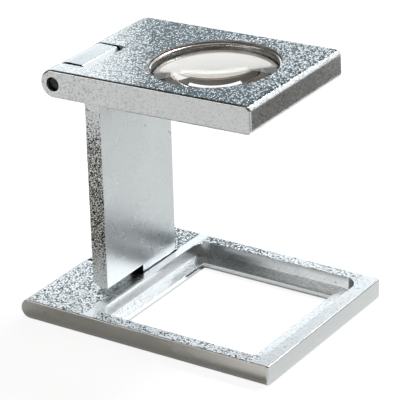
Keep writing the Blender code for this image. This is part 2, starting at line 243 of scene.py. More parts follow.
def profileSolid(corners, rounds, lowY, highY, steps=16):
    # a flat outline in XZ with chosen corners rounded, drawn out along Y
    bm = bmesh.new()
    points = [bm.verts.new((x, lowY, z)) for x, z in corners]
    bm.faces.new(points)
    for radius in sorted({radius for radius in rounds.values()}):
        chosen = [points[index] for index, value in rounds.items() if value == radius]
        bmesh.ops.bevel(bm, geom=chosen, offset=radius, offset_type="OFFSET", segments=steps,
                        profile=0.5, affect="VERTICES", material=-1)
    bmesh.ops.remove_doubles(bm, verts=bm.verts, dist=1e-6)
    grown = bmesh.ops.extrude_face_region(bm, geom=bm.faces[:])
    moved = [part for part in grown["geom"] if isinstance(part, bmesh.types.BMVert)]
    bmesh.ops.translate(bm, verts=moved, vec=(0, highY - lowY, 0))
    bmesh.ops.recalc_face_normals(bm, faces=bm.faces)
    return bm


def block(low, high):
    bm = bmesh.new()
    bmesh.ops.create_cube(bm, size=1)
    low = Vector(low)
    high = Vector(high)
    bmesh.ops.scale(bm, verts=bm.verts, vec=high - low)
    bmesh.ops.translate(bm, verts=bm.verts, vec=(high + low) / 2)
    return bm


def turned(profile, steps, angle=math.tau):
    # a closed outline of (radius, height) points, turned about Z
    bm = bmesh.new()
    points = [bm.verts.new((radius, 0, height)) for radius, height in profile]
    edges = [bm.edges.new(pair) for pair in zip(points, points[1:] + points[:1])]
    bmesh.ops.spin(bm, geom=points + edges, cent=(0, 0, 0), axis=(0, 0, 1), angle=angle,
                   steps=steps, use_merge=True)
    bmesh.ops.remove_doubles(bm, verts=bm.verts, dist=1e-7)
    bmesh.ops.dissolve_degenerate(bm, edges=bm.edges, dist=1e-8)
    return bm


def rodAlongY(radius, lowY, highY, centre, steps=64):
    bm = bmesh.new()
    bmesh.ops.create_cone(bm, cap_ends=True, segments=steps, radius1=radius, radius2=radius,
                          depth=highY - lowY, matrix=Matrix.Rotation(math.radians(90), 4, "X"))
    bmesh.ops.translate(bm, verts=bm.verts, vec=(centre[0], (lowY + highY) / 2, centre[1]))
    return bm


def sharpEdges(bm, angle=28):
    limit = math.radians(angle)
    return [edge for edge in bm.edges
            if len(edge.link_faces) == 2 and edge.is_convex and edge.calc_face_angle(0) > limit]


def roundEdges(bm, edges, radius, segments):
    bmesh.ops.bevel(bm, geom=edges, offset=radius, offset_type="OFFSET", segments=segments,
                    profile=0.5, affect="EDGES", material=-1, clamp_overlap=False)


def applyModifiers(item):
    bpy.context.view_layer.update()
    seen = item.evaluated_get(bpy.context.evaluated_depsgraph_get())
    mesh = bpy.data.meshes.new_from_object(seen)
    item.modifiers.clear()
    old = item.data
    item.data = mesh
    bpy.data.meshes.remove(old)
    mesh.name = item.name


def combine(item, tools, operation):
    for bm in tools:
        tool = newPiece("tool", bm, None)
        boolean = item.modifiers.new("boolean", "BOOLEAN")
        boolean.solver = "EXACT"
        boolean.operation = operation
        boolean.object = tool
        applyModifiers(item)
        bpy.data.objects.remove(tool)


def softenCasting(item, radius, segments=2):
    # every sharp edge left by the cuts gets a small cast radius, and wide faces stay flat
    bm = bmesh.new()
    bm.from_mesh(item.data)
    bmesh.ops.remove_doubles(bm, verts=bm.verts, dist=2e-6)
    bmesh.ops.dissolve_limit(bm, angle_limit=math.radians(0.4), verts=bm.verts, edges=bm.edges)
    roundEdges(bm, sharpEdges(bm), radius, segments)
    bmesh.ops.recalc_face_normals(bm, faces=bm.faces)
    bm.to_mesh(item.data)
    bm.free()
    turnedNormals(item, 38)
    flat = item.modifiers.new("flatFaces", "WEIGHTED_NORMAL")
    flat.keep_sharp = True


def turnedNormals(item, angle=30):
    item.data.shade_smooth()
    item.data.set_sharp_from_angle(angle=math.radians(angle))


# ---- base frame

baseCast = {
    "pocketLength": 0.0376,
    "pocketWidth": 0.0373,
    "pocketCentre": 0.0069,
    "pocketCorner": 0.0032,
    "pocketFloor": 0.0015,
    "window": 0.0300,
    "windowCentre": 0.0062,
    "windowCorner": 0.0002,
    "lip": 0.0012,
    "slotLow": -0.0006,
    "slotHigh": 0.0125,
    "slotFront": -0.01375,
    "pinRadius": 0.0011,
    "pinEndY": -0.0106,
    "frontCorner": 0.0006,
    "outerRadius": 0.00028,
    "cutRadius": 0.00012,
    "spare": 0.002,
}


def roundedLoop(bm, centreX, length, width, radius, height, steps=10):
    # one rectangle with rounded corners, as the border of a single face
    made = bmesh.ops.create_grid(bm, x_segments=1, y_segments=1, size=0.5)
    bmesh.ops.scale(bm, verts=made["verts"], vec=(length, width, 1))
    bmesh.ops.translate(bm, verts=made["verts"], vec=(centreX, 0, height))
    bmesh.ops.bevel(bm, geom=made["verts"], offset=radius, offset_type="OFFSET", segments=steps,
                    profile=0.5, affect="VERTICES", material=-1)
    sheet = [face for face in bm.faces if abs(face.calc_center_median().z - height) < 1e-7]
    return sheet[0]


def windowTool(sizes):
    pocket = (sizes["pocketCentre"], sizes["pocketLength"], sizes["pocketWidth"], sizes["pocketCorner"])
    window = (sizes["windowCentre"], sizes["window"], sizes["window"], sizes["windowCorner"])
    bm = bmesh.new()
    levels = [
        roundedLoop(bm, *pocket, baseThickness + sizes["spare"]),
        roundedLoop(bm, *pocket, sizes["pocketFloor"]),
        roundedLoop(bm, *window, sizes["lip"]),
        roundedLoop(bm, *window, -sizes["spare"]),
    ]
    for upper, lower in zip(levels, levels[1:]):
        bmesh.ops.bridge_loops(bm, edges=upper.edges[:] + lower.edges[:])
    bmesh.ops.delete(bm, geom=levels[1:3], context="FACES_ONLY")
    return bm


def makeBase(sizes):
    half = baseThickness / 2
    corners = [(baseLow.x, 0), (baseHigh.x, 0), (baseHigh.x, baseThickness), (baseLow.x, baseThickness)]
    bm = profileSolid(corners, {0: half, 3: half}, baseLow.y, baseHigh.y)
    front = [edge for edge in bm.edges
             if all(abs(vert.co.x - baseHigh.x) < 1e-5 for vert in edge.verts)
             and abs(edge.verts[0].co.z - edge.verts[1].co.z) > half]
    roundEdges(bm, front, sizes["frontCorner"], 6)
    roundEdges(bm, sharpEdges(bm), sizes["outerRadius"], 4)
    item = newPiece("baseCasting", bm, "base", ["base_frame"])
    spare = sizes["spare"]
    slot = block((baseLow.x - spare, sizes["slotLow"], -spare),
                 (sizes["slotFront"], sizes["slotHigh"], baseThickness + spare))
    bore = rodAlongY(sizes["pinRadius"], sizes["pinEndY"], baseHigh.y + spare, (lowerPin.x, lowerPin.z))
    combine(item, [windowTool(sizes), slot, bore], "DIFFERENCE")
    softenCasting(item, sizes["cutRadius"])
    return item


baseCasting = makeBase(baseCast)
print("base casting done")

# ---- upright

uprightCast = {
    "width": 0.0244,
    "thickness": 0.0035,
    "footGap": 0.0016,
    "footRadius": 0.0020,
    "fillet": 0.0012,
    "upperStart": -0.0115,
    "upperEnd": 0.0001,
    "lowerStart": 0.0004,
    "knuckleRelief": 0.0001,
    "upperKnuckle": 0.00275,
    "noseFlat": 0.0034,
    "noseReach": 0.0053,
    "noseDrop": 0.0026,
    "topDrop": 0.0030,
    "upperPinRadius": 0.0014,
    "lowerPinRadius": 0.0011,
    "castRadius": 0.00016,
    "spare": 0.002,
}


def makeUpright(sizes):
    side = sizes["width"] / 2
    front = uprightHigh.x
    back = front - sizes["thickness"]
    top = upperPin.z - sizes["topDrop"]
    foot = baseThickness + sizes["footGap"]
    stem = [(back, foot), (front, foot), (front, top), (back, top)]
    item = newPiece("uprightCasting", profileSolid(stem, {0: sizes["footRadius"]}, -side, side, 8),
                    "upright", ["upright"])
    # upper arm: full round at the pin, sloping nose, filleted into the back
    round1 = sizes["upperKnuckle"]
    nose = upperPin.x + sizes["noseReach"]
    rear = upperPin.x - round1
    under = upperPin.z - round1
    root = under - 2 * sizes["fillet"]
    upper = [(rear, under), (back, under), (back, root), (back + sizes["thickness"] / 2, root),
             (nose, top - sizes["fillet"]), (nose, upperPin.z + round1 - sizes["noseDrop"]),
             (upperPin.x + sizes["noseFlat"], upperPin.z + round1), (rear, upperPin.z + round1)]
    upperArm = profileSolid(upper, {0: round1, 7: round1, 1: sizes["fillet"]},
                            sizes["upperStart"], sizes["upperEnd"])
    round2 = baseThickness / 2 - sizes["knuckleRelief"]
    high = lowerPin.z + round2
    low = lowerPin.z - round2
    rear = lowerPin.x - round2
    joined = foot + 2 * sizes["footRadius"]
    lower = [(rear, low), (front, low), (front, joined), (back, joined), (back, high), (rear, high)]
    lowerArm = profileSolid(lower, {0: round2, 5: round2, 4: sizes["fillet"]},
                            sizes["lowerStart"], side)
    combine(item, [upperArm, lowerArm], "UNION")
    spare = sizes["spare"]
    bores = [rodAlongY(sizes["upperPinRadius"], -side - spare, side + spare, (upperPin.x, upperPin.z)),
             rodAlongY(sizes["lowerPinRadius"], -side - spare, side + spare, (lowerPin.x, lowerPin.z))]
    combine(item, bores, "DIFFERENCE")
    softenCasting(item, sizes["castRadius"])
    return item


uprightCasting = makeUpright(uprightCast)
print("upright casting done")

# ---- lens plate, modelled level about its pin and then tilted into place

plateCast = {
    "reach": 0.0443,
    "width": 0.0335,
    "thickness": 0.0057,
    "outerRadius": 0.00050,
    "tipRadius": 0.00115,
    "slotReach": 0.0056,
    "slotLow": -0.0125,
    "slotHigh": 0.0004,
    "pinRadius": 0.0014,
    "pinEndY": 0.0104,
    "lensReach": 0.0263,
    "boreRadius": 0.0128,
    "grooveRadius": 0.0132,
    "grooveLow": 0.0015,
    "grooveHigh": 0.0025,
    "seatRadius": 0.0116,
    "seatHeight": -0.00065,
    "cutRadius": 0.00010,
    "spare": 0.002,
    "turnSteps": 128,
}


def makePlate(sizes):
    half = sizes["thickness"] / 2
    side = sizes["width"] / 2
    reach = sizes["reach"]
    spare = sizes["spare"]
    corners = [(-half, -half), (reach, -half), (reach, half), (-half, half)]
    tip = sizes["tipRadius"]
    bm = profileSolid(corners, {0: half, 1: tip, 2: tip, 3: half}, -side, side, 20)
    roundEdges(bm, sharpEdges(bm), sizes["outerRadius"], 5)
    item = newPiece("lensPlateCasting", bm, "lens_plate", ["lens_plate"])
    profile = [(0, half + spare), (sizes["boreRadius"], half + spare),
               (sizes["boreRadius"], sizes["grooveHigh"]), (sizes["grooveRadius"], sizes["grooveHigh"]),
               (sizes["grooveRadius"], sizes["grooveLow"]), (sizes["boreRadius"], sizes["grooveLow"]),
               (sizes["boreRadius"], sizes["seatHeight"]), (sizes["seatRadius"], sizes["seatHeight"]),
               (sizes["seatRadius"], -half - spare), (0, -half - spare)]
    bore = turned(profile, sizes["turnSteps"])
    bmesh.ops.translate(bore, verts=bore.verts, vec=(sizes["lensReach"], 0, 0))
    slot = block((-half - spare, sizes["slotLow"], -half - spare),
                 (sizes["slotReach"], sizes["slotHigh"], half + spare))
    pinBore = rodAlongY(sizes["pinRadius"], -side - spare, sizes["pinEndY"], (0, 0))
    combine(item, [bore, slot, pinBore], "DIFFERENCE")
    softenCasting(item, sizes["cutRadius"])
    item.data.transform(platePlace)
    return item


lensPlateCasting = makePlate(plateCast)
print("lens plate casting done")

# ---- lens and its snap ring

lensGlass = {
    "radius": 0.0125,
    "surfaceRadius": 0.0520,
    "edgeTop": 0.00125,
    "edgeThickness": 0.0015,
    "rimChamfer": 0.00015,
    "rings": 24,
    "steps": 128,
}

snapRing = {
    "radius": 0.0126,
    "wire": 0.0004,
    "height": 0.0020,
    "split": 24,
    "splitAt": -135,
    "wireSteps": 20,
    "steps": 150,
}


def domeHeight(sizes, radius):
    surface = sizes["surfaceRadius"]
    return math.sqrt(surface ** 2 - radius ** 2) - math.sqrt(surface ** 2 - sizes["radius"] ** 2)


def makeLens(sizes):
    top = sizes["edgeTop"]
    bottom = top - sizes["edgeThickness"]
    flat = sizes["radius"] - sizes["rimChamfer"]
    radii = [flat * ring / sizes["rings"] for ring in range(sizes["rings"] + 1)]
    upper = [(radius, top + domeHeight(sizes, radius)) for radius in radii]
    lower = [(radius, bottom - domeHeight(sizes, radius)) for radius in reversed(radii)]
    rim = [(sizes["radius"], top - sizes["rimChamfer"]), (sizes["radius"], bottom + sizes["rimChamfer"])]
    bm = turned(upper + rim + lower, sizes["steps"])
    bmesh.ops.translate(bm, verts=bm.verts, vec=(plateCast["lensReach"], 0, 0))
    bmesh.ops.transform(bm, verts=bm.verts, matrix=platePlace)
    item = newPiece("lensElement", bm, "lens_plate", ["lens"])
    turnedNormals(item, 25)
    return item


def makeSnapRing(sizes):
    bm = bmesh.new()
    stand = Matrix.Translation((sizes["radius"], 0, sizes["height"])) @ Matrix.Rotation(math.pi / 2, 4, "X")
    bmesh.ops.create_circle(bm, cap_ends=True, segments=sizes["wireSteps"], radius=sizes["wire"],
                            matrix=stand)
    bmesh.ops.spin(bm, geom=bm.verts[:] + bm.edges[:] + bm.faces[:], cent=(0, 0, 0), axis=(0, 0, 1),
                   angle=math.radians(360 - sizes["split"]), steps=sizes["steps"])
    turn = Matrix.Rotation(math.radians(sizes["splitAt"] + sizes["split"] / 2), 4, "Z")
    move = Matrix.Translation((plateCast["lensReach"], 0, 0))
    bmesh.ops.transform(bm, verts=bm.verts, matrix=platePlace @ move @ turn)
    item = newPiece("snapRing", bm, "lens_plate", ["lens_retaining_ring"])
    turnedNormals(item, 40)
    return item


lensElement = makeLens(lensGlass)
snapRingPiece = makeSnapRing(snapRing)
print("lens and snap ring done")

# ---- hinge pins

hingePins = {
    "upper": {"radius": 0.0013, "low": -0.01595, "high": 0.0101},
    "lower": {"radius": 0.0010, "low": -0.0103, "high": 0.0207},
    "chamfer": 0.0002,
    "dimple": 0.0004,
    "dimpleDepth": 0.00025,
    "steps": 48,
}


def makePin(name, sizes, shared, body, node, place):
    radius = sizes["radius"]
    low = sizes["low"]
    high = sizes["high"]
    cut = shared["chamfer"]
    depth = shared["dimpleDepth"]
    profile = [(0, low + depth), (shared["dimple"], low), (radius - cut, low), (radius, low + cut),
               (radius, high - cut), (radius - cut, high), (shared["dimple"], high), (0, high - depth)]
    bm = turned(profile, shared["steps"])
    bmesh.ops.transform(bm, verts=bm.verts, matrix=place @ Matrix.Rotation(math.radians(-90), 4, "X"))
    item = newPiece(name, bm, body, [node])
    turnedNormals(item, 30)
    return item


upperPinPiece = makePin("upperHingePin", hingePins["upper"], hingePins, "lens_plate",
                        "upper_hinge_pin", platePlace)
lowerPinPiece = makePin("lowerHingePin", hingePins["lower"], hingePins, "base",
                        "lower_hinge_pin", Matrix.Translation(lowerPin))
print("hinge pins done")

# ---- materials


def addNode(tree, kind, inputs=None, **settings):
    node = tree.nodes.new(kind)
    for name, value in settings.items():
        setattr(node, name, value)
    for name, value in (inputs or {}).items():
        socket = node.inputs[name]
        if isinstance(value, bpy.types.NodeSocket):
            tree.links.new(value, socket)
        else:
            socket.default_value = value
    return node


def newGroup(name, inputs, outputs):
    tree = bpy.data.node_groups.new(name, "ShaderNodeTree")
    for label, kind, value in inputs:
        socket = tree.interface.new_socket(name=label, in_out="INPUT", socket_type=kind)
        socket.default_value = value
    for label, kind in outputs:
        tree.interface.new_socket(name=label, in_out="OUTPUT", socket_type=kind)
    return tree, addNode(tree, "NodeGroupInput"), addNode(tree, "NodeGroupOutput")


def chain(tree, operation, first, second):
    node = addNode(tree, "ShaderNodeMath", {0: first, 1: second}, operation=operation)
    return node.outputs[0]


def mix(tree, factor, low, high):
    node = addNode(tree, "ShaderNodeMix", data_type="RGBA")
    values = {"Factor": factor, "A": low, "B": high}
    for name, value in values.items():
        socket = next(s for s in node.inputs if s.name == name and s.enabled)
        if isinstance(value, bpy.types.NodeSocket):
            tree.links.new(value, socket)
        else:
            socket.default_value = value
    return next(s for s in node.outputs if s.enabled)


def spread(tree, value, low, high, fromLow=0.0, fromHigh=1.0):
    node = addNode(tree, "ShaderNodeMapRange", {"Value": value, "From Min": fromLow, "From Max": fromHigh,
                                                "To Min": low, "To Max": high})
    return node.outputs["Result"]


def mixValue(tree, factor, low, high):
    node = addNode(tree, "ShaderNodeMix", {0: factor, 2: low, 3: high}, data_type="FLOAT")
    return node.outputs[0]


def makeBlastGroup():
    # blasted and plated skin: small facets that each catch the light their own way
    tree, source, result = newGroup("blastedSkin", [
        ("Grain Size", "NodeSocketFloat", 0.0004),
        ("Relief", "NodeSocketFloat", 0.5),
        ("Coarse", "NodeSocketFloat", 1.0),
        ("Balance", "NodeSocketFloat", 0.5),
        ("Contrast", "NodeSocketFloat", 3.0),
    ], [
        ("Fleck", "NodeSocketFloat"),
        ("Cloud", "NodeSocketFloat"),
        ("Normal", "NodeSocketVector"),
    ])
    place = addNode(tree, "ShaderNodeTexCoord")
    scale = chain(tree, "DIVIDE", 1.0, source.outputs["Grain Size"])
    drawn = addNode(tree, "ShaderNodeMapping", {"Vector": place.outputs["Object"],
                                                "Rotation": (0, 0, math.radians(33)), "Scale": (1, 1.7, 1)},
                    vector_type="TEXTURE").outputs["Vector"]
    cells = addNode(tree, "ShaderNodeTexVoronoi", {"Vector": drawn, "Scale": scale, "Randomness": 1.0})
    cell = addNode(tree, "ShaderNodeSeparateColor", {"Color": cells.outputs["Color"]}).outputs["Red"]
    rough = addNode(tree, "ShaderNodeTexNoise", {"Vector": drawn, "Scale": scale,
                                                 "Detail": 2.0, "Roughness": 0.7}).outputs["Fac"]
    crown = spread(tree, cells.outputs["Distance"], 1.0, 0.0, 0.05, 0.75)
    uneven = chain(tree, "ADD", chain(tree, "MULTIPLY", cell, 0.3), chain(tree, "MULTIPLY", rough, 0.15))
    blend = chain(tree, "ADD", chain(tree, "MULTIPLY", crown, 0.55), uneven)
    height = chain(tree, "ADD", crown, rough)
    shifted = chain(tree, "SUBTRACT", blend, source.outputs["Balance"])
    sharper = chain(tree, "MULTIPLY", shifted, source.outputs["Contrast"])
    fleck = addNode(tree, "ShaderNodeMath", {0: sharper, 1: 0.5}, operation="ADD", use_clamp=True)
    smooth = spread(tree, source.outputs["Coarse"], 0.9, 0.0)
    part = chain(tree, "MULTIPLY", fleck.outputs[0], source.outputs["Coarse"])
    cloud = addNode(tree, "ShaderNodeTexNoise", {"Vector": place.outputs["Object"], "Scale": 120.0,
                                                 "Detail": 4.0})
    strength = chain(tree, "MULTIPLY", source.outputs["Relief"],
                     spread(tree, source.outputs["Coarse"], 0.08, 1.0))
    bump = addNode(tree, "ShaderNodeBump", {"Strength": strength, "Distance": 0.0001, "Height": height})
    tree.links.new(chain(tree, "ADD", smooth, part), result.inputs["Fleck"])
    tree.links.new(cloud.outputs["Fac"], result.inputs["Cloud"])
    tree.links.new(bump.outputs["Normal"], result.inputs["Normal"])
    return tree


blastedSkin = makeBlastGroup()


def makeMarksGroup():
    # small casting pits and the fine scratches that handling leaves
    tree, source, result = newGroup("handlingMarks", [
        ("Pit Spacing", "NodeSocketFloat", 0.0038),
        ("Scratch Spacing", "NodeSocketFloat", 0.004),
    ], [
        ("Pit", "NodeSocketFloat"),
        ("Scratch", "NodeSocketFloat"),
    ])
    place = addNode(tree, "ShaderNodeTexCoord")
    pitScale = chain(tree, "DIVIDE", 1.0, source.outputs["Pit Spacing"])
    pits = addNode(tree, "ShaderNodeTexVoronoi", {"Vector": place.outputs["Object"], "Scale": pitScale,
                                                  "Randomness": 1.0})
    tree.links.new(spread(tree, pits.outputs["Distance"], 1.0, 0.0, 0.045, 0.065), result.inputs["Pit"])
    stretched = addNode(tree, "ShaderNodeMapping", {"Vector": place.outputs["Object"],
                                                    "Rotation": (0.6, 0.5, 0.4), "Scale": (1, 14, 14)})
    scratchScale = chain(tree, "DIVIDE", 1.0, source.outputs["Scratch Spacing"])
    lines = addNode(tree, "ShaderNodeTexNoise", {"Vector": stretched.outputs["Vector"],
                                                 "Scale": scratchScale, "Detail": 2.0}).outputs["Fac"]
    tree.links.new(spread(tree, lines, 0.0, 1.0, 0.66, 0.74), result.inputs["Scratch"])
    return tree


handlingMarks = makeMarksGroup()


def makeCastingMaterial(name, look, zones, shadeAndMarks):
    # zones says where the skin is coarse and how dark its flecks lie; the last function paints shade and
    # marks over it
    material = bpy.data.materials.new(name)
    material.use_nodes = True
    tree = material.node_tree
    shader = tree.nodes["Principled BSDF"]
    shader.inputs["Metallic"].default_value = 1.0
    place = addNode(tree, "ShaderNodeTexCoord")
    point = addNode(tree, "ShaderNodeSeparateXYZ", {0: place.outputs["Object"]})
    aim = addNode(tree, "ShaderNodeSeparateXYZ", {0: place.outputs["Normal"]})
    coarse, balance = zones(tree, point, aim)
    skin = addNode(tree, "ShaderNodeGroup", node_tree=blastedSkin)
    skin.inputs["Grain Size"].default_value = look["grain"]
    skin.inputs["Relief"].default_value = look["relief"]
    skin.inputs["Contrast"].default_value = look["contrast"]
    tree.links.new(coarse, skin.inputs["Coarse"])
    tree.links.new(balance, skin.inputs["Balance"])
    marks = addNode(tree, "ShaderNodeGroup", node_tree=handlingMarks)
    colour = mix(tree, skin.outputs["Fleck"], look["dark"], look["light"])
    colour = mix(tree, chain(tree, "MULTIPLY", marks.outputs["Pit"], 0.6), colour, look["dark"])
    tree.links.new(shadeAndMarks(tree, point, aim, colour), shader.inputs["Base Color"])
    low, high = look["roughness"]
    matt = spread(tree, skin.outputs["Cloud"], low, high, 0.3, 0.7)
    scratched = chain(tree, "MULTIPLY", marks.outputs["Scratch"], look["scratch"])
    tree.links.new(chain(tree, "ADD", matt, scratched), shader.inputs["Roughness"])
    tree.links.new(skin.outputs["Normal"], shader.inputs["Normal"])
    return material


def facesAlong(tree, aim, axis):
    # a mask of the faces that look along one axis, either way
    size = addNode(tree, "ShaderNodeMath", {0: aim.outputs[axis]}, operation="ABSOLUTE").outputs[0]
    return spread(tree, size, 0.0, 1.0, 0.6, 0.95)


def within(tree, value, low, high, soft=0.0004):
    # a mask that is 1 between two places and fades out past them
    rise = spread(tree, value, 0.0, 1.0, low - soft, low)
    fall = spread(tree, value, 1.0, 0.0, high, high + soft)
    return chain(tree, "MULTIPLY", rise, fall)


# where each skin is coarse, how dark its flecks lie, and where shade is painted: each pair named
# X, Y, Z or Across is where the change starts and ends
baseSkin = {
    "frontX": (0.0235, 0.0262),
    "frontCoarse": 0.2,
    "pocketZ": (0.0020, 0.0035),
    "pocketCoarse": 0.25,
    "crossbarX": (-0.0142, -0.0137),
    "behindX": (-0.0120, -0.0110),
    # painted reflection at the far rear corner
    "cornerX": (-0.004, 0.008),
    "cornerY": (0.010, 0.014),
    "cornerPaintedReflection": 0.12,
    "balance": (0.35, 0.29),
    "balanceX": (-0.02, 0.02),
    # painted shade under the raised foot
    "underFootShadeX": (-0.0168, -0.0140),
    "underFootShadeLow": -0.0118,
    "underFootShadeStrength": 0.75,
    "underFootShadeColour": (0.05, 0.065, 0.06, 1),
}

uprightSkin = {
    "topZ": (0.036, 0.046),
    "footZ": (0.006, 0.016),
    # painted reflection on the sides, by height
    "sideBalance": (0.46, 0.12),
    "faceBalance": 0.38,
    "faceCoarse": 0.06,
    "sideMargin": 0.0003,
    # painted shade under the foot
    "footUndersideShade": (0.07, 0.075, 0.07, 1),
}

plateSkin = {
    "acrossX": 0.83,
    "acrossY": 0.55,
    "topCoarse": (0.35, 1.0),
    "topAcross": (-0.020, -0.008),
    "sideCoarse": (0.36, 0.16),
    "sideX": (-0.018, 0.004),
    "endCoarse": 0.45,
    "sideBalance": 0.30,
    "dark": (0.34, 0.56),
    # painted reflection across the top
    "reflectionDarkAcross": (-0.020, -0.006),
    "light": 0.10,
    "reflectionLightAcross": (0.004, 0.020),
}

boreWall = {
    "ringStretch": 7.0,
    "ringScale": 420.0,
    "ringEdges": (0.42, 0.56),
    "warm": (0.62, 0.52, 0.46, 1),
    "pale": (1.0, 0.97, 0.95, 1),
    "metallic": 0.25,
}

# painted shade for the slot cheeks
slotCheekShade = {
    "margin": 0.0002,
    "soft": 0.0001,
    "colour": (0.025, 0.025, 0.025, 1),
}


def baseZones(tree, point, aim):
    x = point.outputs["X"]
    front = spread(tree, x, 1.0, baseSkin["frontCoarse"], *baseSkin["frontX"])
    pocket = spread(tree, point.outputs["Z"], baseSkin["pocketCoarse"], 1.0, *baseSkin["pocketZ"])
    crossbar = spread(tree, x, 1.0, 0.0, *baseSkin["crossbarX"])
    behind = spread(tree, x, 0.0, 1.0, *baseSkin["behindX"])
    bar = chain(tree, "MAXIMUM", crossbar, behind)
    rails = chain(tree, "MULTIPLY", facesAlong(tree, aim, "Z"), front)
    coarse = chain(tree, "MULTIPLY", rails, chain(tree, "MULTIPLY", pocket, bar))
    # painted reflection: the flecks darken towards the far rear corner of the top
    far = spread(tree, point.outputs["Y"], 0.0, baseSkin["cornerPaintedReflection"], *baseSkin["cornerY"])
    cornerReflection = chain(tree, "MULTIPLY", far, spread(tree, x, 1.0, 0.0, *baseSkin["cornerX"]))
    return coarse, chain(tree, "ADD", cornerReflection, spread(tree, x, *baseSkin["balance"], *baseSkin["balanceX"]))


def uprightZones(tree, point, aim):
    sides = facesAlong(tree, aim, "Y")
    # the sides carry a painted reflection: their flecks are lighter near the top and the foot and darker
    # between them
    ends = chain(tree, "MAXIMUM", spread(tree, point.outputs["Z"], 0.0, 1.0, *uprightSkin["topZ"]),
                 spread(tree, point.outputs["Z"], 1.0, 0.0, *uprightSkin["footZ"]))
    sideReflection = spread(tree, ends, *uprightSkin["sideBalance"])
    balance = mixValue(tree, sides, uprightSkin["faceBalance"], sideReflection)
    return chain(tree, "MAXIMUM", sides, uprightSkin["faceCoarse"]), balance


def plateZones(tree, point, aim):
    # smoother by the hinge corner, coarser towards the free end; the tone across the top is a painted
    # reflection, light by the hinge corner, darker in the middle and lighter towards the far corner
    level = facesAlong(tree, aim, "Z")
    across = chain(tree, "ADD", chain(tree, "MULTIPLY", point.outputs["X"], plateSkin["acrossX"]),
                   chain(tree, "MULTIPLY", point.outputs["Y"], plateSkin["acrossY"]))
    top = chain(tree, "MULTIPLY", level,
                spread(tree, across, *plateSkin["topCoarse"], *plateSkin["topAcross"]))
    side = spread(tree, point.outputs["X"], *plateSkin["sideCoarse"], *plateSkin["sideX"])
    end = spread(tree, aim.outputs["X"], 0.0, plateSkin["endCoarse"], 0.6, 0.9)
    side = chain(tree, "MAXIMUM", side, end)
    # painted reflection: the top's flecks darken towards the middle and lighten towards the far corner
    dark = spread(tree, across, *plateSkin["dark"], *plateSkin["reflectionDarkAcross"])
    light = spread(tree, across, 0.0, plateSkin["light"], *plateSkin["reflectionLightAcross"])
    balance = mixValue(tree, level, plateSkin["sideBalance"], chain(tree, "SUBTRACT", dark, light))
    return mixValue(tree, level, side, top), balance


def shadedSlot(tree, point, aim, colour, low, high, near, far):
    # painted shade on the slot cheeks that face the washers
    inside = within(tree, point.outputs["Y"], near, far, slotCheekShade["soft"])
    along = within(tree, point.outputs["X"], low, high, slotCheekShade["soft"])
    cheek = chain(tree, "MULTIPLY", chain(tree, "MULTIPLY", inside, along), facesAlong(tree, aim, "Y"))
    return mix(tree, cheek, colour, slotCheekShade["colour"])


def basePaintedShade(tree, point, aim, colour):
    # painted shade: a dark strip under the raised foot, where its shadow falls
    underFootShade = chain(tree, "MULTIPLY", within(tree, point.outputs["X"], *baseSkin["underFootShadeX"], 0.0003),
                  within(tree, point.outputs["Y"], baseSkin["underFootShadeLow"], baseCast["slotLow"], 0.0010))
    underFootShade = chain(tree, "MULTIPLY", underFootShade, facesAlong(tree, aim, "Z"))
    colour = mix(tree, chain(tree, "MULTIPLY", underFootShade, baseSkin["underFootShadeStrength"]), colour,
                 baseSkin["underFootShadeColour"])
    near = baseCast["slotLow"] - slotCheekShade["margin"]
    far = baseCast["slotHigh"] + slotCheekShade["margin"]
    return shadedSlot(tree, point, aim, colour, baseLow.x, baseCast["slotFront"], near, far)


def uprightPaintedShade(tree, point, aim, colour):
    # painted shade on the underside of the foot, on the near half
    side = uprightCast["width"] / 2 - uprightSkin["sideMargin"]
    under = chain(tree, "MULTIPLY", spread(tree, aim.outputs["Z"], 1.0, 0.0, -0.9, -0.5),
                  within(tree, point.outputs["Y"], -side, 0.0))
    low = within(tree, point.outputs["Z"], baseThickness, baseThickness + 2 * uprightCast["footRadius"])
    colour = mix(tree, chain(tree, "MULTIPLY", under, low), colour, uprightSkin["footUndersideShade"])
    return shadedSlot(tree, point, aim, colour, uprightLow.x, uprightHigh.x,
                      uprightCast["upperStart"] - slotCheekShade["margin"], side)


def plateShadeAndBore(tree, point, aim, colour):
    # painted shade on the slot cheek, then the bore's tool marks
    high = upperPin.x + plateCast["slotReach"]
    near = plateCast["slotLow"] - slotCheekShade["margin"]
    far = plateCast["slotLow"] + slotCheekShade["margin"]
    colour = shadedSlot(tree, point, aim, colour, uprightLow.x, high, near, far)
    return turnedBore(tree, point, aim, colour)


def turnedBore(tree, point, aim, colour):
    # the bore wall has rings of warm and pale tool marks, and is duller than the plating
    centre = platePlace @ Vector((plateCast["lensReach"], 0, 0))
    x = point.outputs["X"]
    y = point.outputs["Y"]
    sideX = chain(tree, "SUBTRACT", x, centre.x)
    squares = chain(tree, "ADD", chain(tree, "MULTIPLY", sideX, sideX), chain(tree, "MULTIPLY", y, y))
    reach = chain(tree, "SQRT", squares, 0.0)
    inside = chain(tree, "LESS_THAN", reach, plateCast["grooveRadius"] + plateCast["spare"] / 10)
    size = addNode(tree, "ShaderNodeMath", {0: aim.outputs["Z"]}, operation="ABSOLUTE").outputs[0]
    wall = chain(tree, "MULTIPLY", inside, spread(tree, size, 1.0, 0.0, 0.5, 0.7))
    height = chain(tree, "MULTIPLY", point.outputs["Z"], boreWall["ringStretch"])
    rings = addNode(tree, "ShaderNodeCombineXYZ", {"X": x, "Y": y, "Z": height})
    streak = addNode(tree, "ShaderNodeTexNoise", {"Vector": rings.outputs["Vector"], "Detail": 3.0,
                                                  "Scale": boreWall["ringScale"],
                                                  "Roughness": 0.6}).outputs["Fac"]
    tone = mix(tree, spread(tree, streak, 0.0, 1.0, *boreWall["ringEdges"]), boreWall["warm"],
               boreWall["pale"])
    shader = tree.nodes["Principled BSDF"]
    tree.links.new(spread(tree, wall, 1.0, boreWall["metallic"]), shader.inputs["Metallic"])
    return mix(tree, wall, colour, tone)


